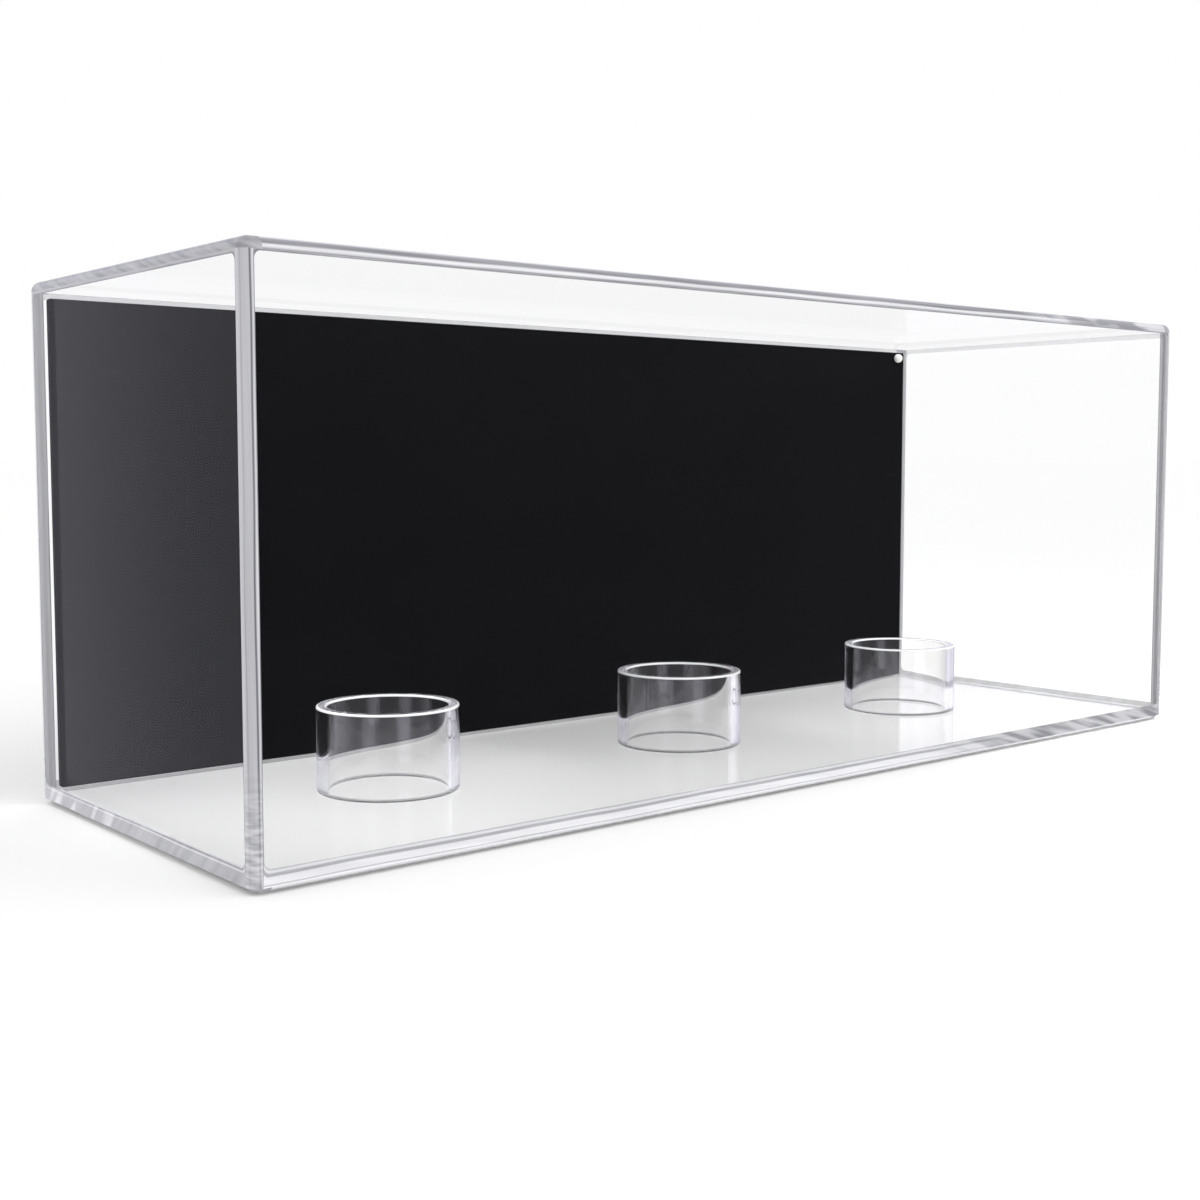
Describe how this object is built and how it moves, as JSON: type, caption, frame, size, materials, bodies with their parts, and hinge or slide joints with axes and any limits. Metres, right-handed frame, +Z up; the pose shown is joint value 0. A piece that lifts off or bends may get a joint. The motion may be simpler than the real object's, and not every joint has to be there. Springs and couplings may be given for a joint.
{
  "type": "baseball display case",
  "caption": "Long clear case with a lift-off cover on a stepped base, low clear tube rings that hold balls in a row, and a black backing panel held by a round-headed pin.",
  "frame": {"origin": "middle of the underside of the base", "axes": "+X along the case to the right, -Y towards the front, +Z up"},
  "size_m": [0.372, 0.126, 0.145],
  "materials": {
    "clear_acrylic": "clear polished sheet",
    "clear_tube": "clear polished tube",
    "black_acrylic": "black sheet",
    "white_nylon": "moulded satin"
  },
  "bodies": {
    "base": {"base_plate": "clear_acrylic", "floor_plate": "clear_acrylic"},
    "cover": {"top_panel": "clear_acrylic", "front_panel": "clear_acrylic", "rear_panel": "clear_acrylic", "left_panel": "clear_acrylic", "right_panel": "clear_acrylic"},
    "backing": {"backing_panel": "black_acrylic"},
    "pin": {"backing_pin": "white_nylon"},
    "left_ring_stand": {"left_ring": "clear_tube"},
    "centre_ring_stand": {"centre_ring": "clear_tube"},
    "right_ring_stand": {"right_ring": "clear_tube"}
  },
  "joints": [
    {"name": "cover_lift", "type": "slide", "parent": "base", "child": "cover", "axis": [0, 0, 1], "range_m": [0, 0.17]},
    {"name": "backing_pull", "type": "slide", "parent": "cover", "child": "backing", "axis": [0, -1, 0], "range_m": [0, 0.03]},
    {"name": "pin_pull", "type": "slide", "parent": "backing", "child": "pin", "axis": [0, -1, 0], "range_m": [0, 0.01]},
    {"name": "left_ring_lift", "type": "slide", "parent": "base", "child": "left_ring_stand", "axis": [0, 0, 1], "range_m": [0, 0.1]},
    {"name": "centre_ring_lift", "type": "slide", "parent": "base", "child": "centre_ring_stand", "axis": [0, 0, 1], "range_m": [0, 0.1]},
    {"name": "right_ring_lift", "type": "slide", "parent": "base", "child": "right_ring_stand", "axis": [0, 0, 1], "range_m": [0, 0.1]}
  ]
}
